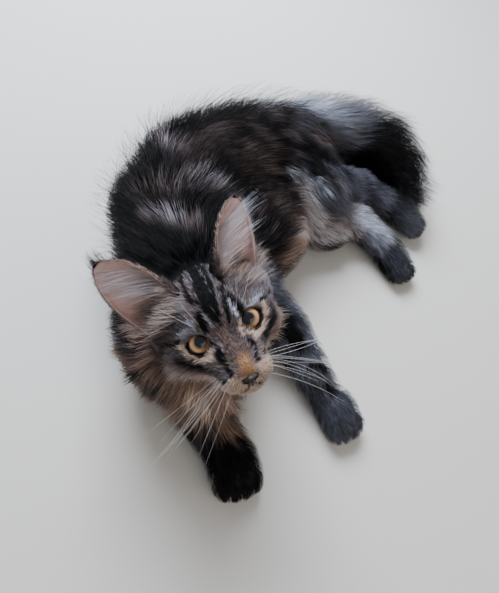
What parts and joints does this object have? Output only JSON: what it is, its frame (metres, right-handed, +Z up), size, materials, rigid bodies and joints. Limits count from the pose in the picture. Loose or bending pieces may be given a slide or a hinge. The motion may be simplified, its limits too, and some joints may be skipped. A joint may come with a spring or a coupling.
{
  "type": "maine coon cat",
  "caption": "Still, life-size young long-haired tabby cat lying on its chest with its hips rolled to one side, looking up.",
  "frame": {"origin": "on the floor, under the middle of the cat's bounding box", "axes": "+Z up from the floor; +Y along the body from the fore paws to the tail; +X to the side that the paws reach"},
  "size_m": [0.3204, 0.4796, 0.1893],
  "materials": {
    "coat_dark": "long fur, black and silver-brown marbled tabby",
    "coat_face": "short fur with dark tabby lines, pale muzzle",
    "coat_ruff": "long soft buff and grey fur",
    "coat_legs": "charcoal fur with grey bars",
    "coat_tail": "long silver-blue fur with a black end",
    "ear_skin": "thin pink-tan skin with fine hair",
    "eye": "wet, clear cornea over an amber iris"
  },
  "bodies": {
    "root": {"torso": "coat_dark", "head": "coat_face", "neck": "coat_ruff", "foreleg_left": "coat_legs", "foreleg_right": "coat_legs", "hindleg_left": "coat_legs", "hindleg_right": "coat_legs", "tail_base": "coat_tail", "tail_middle": "coat_tail", "tail_tip": "coat_tail", "ear_left": "ear_skin", "ear_right": "ear_skin", "eye_left": "eye", "eye_right": "eye"}
  },
  "joints": []
}
